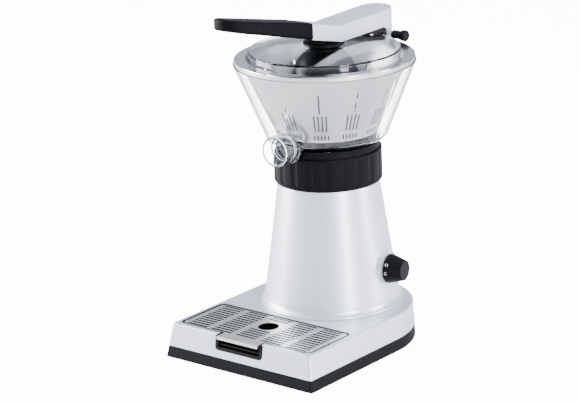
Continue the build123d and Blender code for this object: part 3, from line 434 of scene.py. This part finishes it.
def pick(piece, kind, test):
    """Select the faces or vertices of a piece whose middle passes the test."""
    bpy.ops.object.mode_set(mode="EDIT")
    bpy.ops.mesh.select_mode(type={"faces": "FACE", "vertices": "VERT"}[kind])
    bpy.ops.mesh.select_all(action="DESELECT")
    bpy.ops.object.mode_set(mode="OBJECT")
    for item in getattr(piece.data, "polygons" if kind == "faces" else "vertices"):
        item.select = test(item.center if kind == "faces" else item.co)
    bpy.ops.object.mode_set(mode="EDIT")


def ring_of(piece, width):
    """Turn a filled outline into a flat ring of the given width."""
    pick(piece, "faces", lambda middle: True)
    bpy.ops.mesh.inset(thickness=width)
    bpy.ops.mesh.delete(type="FACE")
    bpy.ops.object.mode_set(mode="OBJECT")


def thicken(piece, thickness, round_edge):
    """Give a flat piece its thickness, half to each side, and soften its edges."""
    solid = piece.modifiers.new("thickness", "SOLIDIFY")
    solid.thickness, solid.offset = thickness, 0.0
    bpy.ops.object.modifier_apply(modifier="thickness")
    soft = piece.modifiers.new("soft_edge", "BEVEL")
    soft.width, soft.segments, soft.limit_method = round_edge, 2, "ANGLE"
    bpy.ops.object.modifier_apply(modifier="soft_edge")
    bpy.ops.object.shade_smooth_by_angle(angle=math.radians(35))


def put(piece, place, body, slot):
    """Bake a placed piece into its mesh and hang it on a body."""
    piece.matrix_world = place
    bpy.ops.object.select_all(action="DESELECT")
    piece.select_set(True)
    bpy.context.view_layer.objects.active = piece
    bpy.ops.object.transform_apply(location=True, rotation=True, scale=True)
    piece.data.materials.clear()
    piece.data.materials.append(FINISHES[slot])
    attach(piece, body)
    size = [round(v / MM, 1) for v in piece.dimensions]
    print(piece.name, "on", body, size, "mm", len(piece.data.polygons), "faces")


def frame_at(origin, across, upwards):
    """Placement whose X runs across, Y upwards and Z out of the surface."""
    out = across.cross(upwards).normalized()
    turn = Matrix((across.normalized(), upwards.normalized(), out)).transposed().to_4x4()
    return Matrix.Translation(origin) @ turn


# %% [markdown]
# ## Frame round the finger notch
# The tray's front fills a notch in the silver base, and a narrow black lip with rounded lower corners lies
# over the notch's edge. A plain strip bent to a U would need three mitres. Instead an upright plate gets its
# lower corners rounded with a vertex bevel, is inset, loses its middle and its top strip, and is thickened.
# It leans back with the base's front wall, whose draft is about nine degrees.

# %% Notch frame
FRAME_HALF, FRAME_BORDER, FRAME_LIP = 31.9 * MM, 1.9 * MM, 0.5 * MM
FRAME_LOW, WALL_LEAN = 21.2 * MM, math.radians(9.42)
FRAME_CORNER, FRAME_EDGE = 4.6 * MM, 0.18 * MM
WALL_BEHIND_BAND, FRAME_PROUD = 3.55 * MM, 0.35 * MM


def notch_frame():
    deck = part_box("base_cover")[1].z
    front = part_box("base_plate")[0].y
    foot = front + WALL_BEHIND_BAND - FRAME_PROUD
    tall = (deck - FRAME_LOW) / math.cos(WALL_LEAN)
    piece = outline(4, 1.0, "notch_frame")
    bpy.ops.object.mode_set(mode="EDIT")
    bpy.ops.mesh.select_all(action="SELECT")
    bpy.ops.transform.rotate(value=math.radians(45), orient_axis="Z", center_override=(0, 0, 0))
    bpy.ops.transform.resize(value=(FRAME_HALF * math.sqrt(2), tall / math.sqrt(2), 1.0),
                             center_override=(0, 0, 0))
    bpy.ops.transform.translate(value=(0, tall / 2, 0))
    pick(piece, "vertices", lambda spot: spot.y < tall / 2)
    bpy.ops.mesh.bevel(offset=FRAME_CORNER, offset_type="OFFSET", segments=8, affect="VERTICES")
    ring_of(piece, FRAME_BORDER)
    pick(piece, "faces", lambda middle: middle.y > tall - FRAME_BORDER)
    bpy.ops.mesh.delete(type="FACE")
    bpy.ops.object.mode_set(mode="OBJECT")
    thicken(piece, FRAME_LIP, FRAME_EDGE)
    up = Vector((0, math.sin(WALL_LEAN), math.cos(WALL_LEAN)))
    place = frame_at(Vector((0, foot, FRAME_LOW)), Vector((1, 0, 0)), up)
    put(piece, place, "tray", "black_tray")


notch_frame()

# %% [markdown]
# ## Marks of the dial
# The selector knob carries two light marks on its flank, and the silver ring behind it has a dark pointer.
# Such marks are usually printed. Here they are thin plates, which stay crisp in close views: an open ring
# and a closed eight-sided one for the two settings, and a triangle for the pointer. The knob's axis turns
# nine degrees to the rear, so its own three directions are worked out first.

# %% Knob marks and pointer
KNOB_TURN = math.radians(9.0)
KNOB_AXIS = Vector((math.cos(KNOB_TURN), math.sin(KNOB_TURN), 0))
KNOB_SIDE = Vector((math.sin(KNOB_TURN), -math.cos(KNOB_TURN), 0))
KNOB_FOOT = centre_of("knob") - KNOB_AXIS * 9.3 * MM
FLANK_STARTS, FLANK_LONG = 2.2 * MM, 15.6 * MM
FLANK_R, FLANK_TOP_R = 15.7 * MM, 11.2 * MM
FLANK_LEAN = math.atan2(FLANK_R - FLANK_TOP_R, FLANK_LONG)
MARK_ALONG, MARK_THICK, MARK_EDGE = 4.2 * MM, 0.5 * MM, 0.06 * MM
POINTER_R, POINTER_THICK, POINTER_EDGE = 2.2 * MM, 0.7 * MM, 0.08 * MM
POINTER_BEHIND, POINTER_AWAY, POINTER_ANGLE = 1.2 * MM, 17.4 * MM, 88


def outward_at(angle):
    """Direction out from the knob's axis; the angle counts from the side facing front up to the top."""
    turn = math.radians(angle)
    return KNOB_SIDE * math.cos(turn) + Vector((0, 0, 1)) * math.sin(turn)


def on_flank(angle):
    """Placement on the knob's sloping flank, where its marks are."""
    outward = outward_at(angle)
    radius = FLANK_R - (MARK_ALONG - FLANK_STARTS) * math.tan(FLANK_LEAN)
    away = KNOB_AXIS * math.cos(FLANK_LEAN) - outward * math.sin(FLANK_LEAN)
    up = away.cross(outward * math.cos(FLANK_LEAN) + KNOB_AXIS * math.sin(FLANK_LEAN))
    return frame_at(KNOB_FOOT + KNOB_AXIS * MARK_ALONG + outward * radius, away, -up)


def knob_marks():
    ring = outline(28, 1.6 * MM, "mark_low")
    ring_of(ring, 0.38 * MM)
    pick(ring, "faces", lambda middle: middle.x > 0.6 * MM and abs(middle.y) < 1.0 * MM)
    bpy.ops.mesh.delete(type="FACE")
    bpy.ops.object.mode_set(mode="OBJECT")
    thicken(ring, MARK_THICK, MARK_EDGE)
    put(ring, on_flank(-2), "knob_set", "gear_plastic")
    window = outline(8, 1.7 * MM, "mark_high")
    ring_of(window, 0.4 * MM)
    thicken(window, MARK_THICK, MARK_EDGE)
    put(window, on_flank(33), "knob_set", "gear_plastic")
    pointer = outline(3, POINTER_R, "pointer")
    thicken(pointer, POINTER_THICK, POINTER_EDGE)
    outward = outward_at(POINTER_ANGLE)
    place = KNOB_FOOT - KNOB_AXIS * POINTER_BEHIND + outward * POINTER_AWAY
    put(pointer, frame_at(place, outward.cross(KNOB_AXIS), -outward), "base", "black_knob")


knob_marks()

# %% [markdown]
# ## Bead of the spout
# A clear tube with a plain cut end would look like a sheet of glass. The moulded spout ends in a rounded
# bead, which draws the bright and dark ring that shows where the mouth is. A small disc is spun once round
# the spout's axis, which gives a smooth ring with its ends already joined.

# %% Spout bead
BEAD_R, BEAD_PROUD = 1.05 * MM, 0.15 * MM


def spout_bead():
    low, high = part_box("spout")
    middle = (low + high) / 2
    reach = (high.x - low.x) / 2 - BEAD_R + BEAD_PROUD
    piece = outline(16, BEAD_R, "spout_bead")
    bpy.ops.object.mode_set(mode="EDIT")
    bpy.ops.mesh.select_all(action="SELECT")
    bpy.ops.mesh.delete(type="ONLY_FACE")
    bpy.ops.mesh.select_all(action="SELECT")
    bpy.ops.transform.translate(value=(reach, 0, 0))
    bpy.ops.mesh.spin(steps=64, angle=2 * math.pi, center=(0, 0, 0), axis=(0, 1, 0))
    bpy.ops.mesh.select_all(action="SELECT")
    bpy.ops.mesh.normals_make_consistent(inside=False)
    bpy.ops.object.mode_set(mode="OBJECT")
    bpy.ops.object.shade_smooth()
    place = Matrix.Translation(Vector((middle.x, low.y + BEAD_R * 0.8, middle.z)))
    put(piece, place, "spout_set", "clear_plastic")


spout_bead()
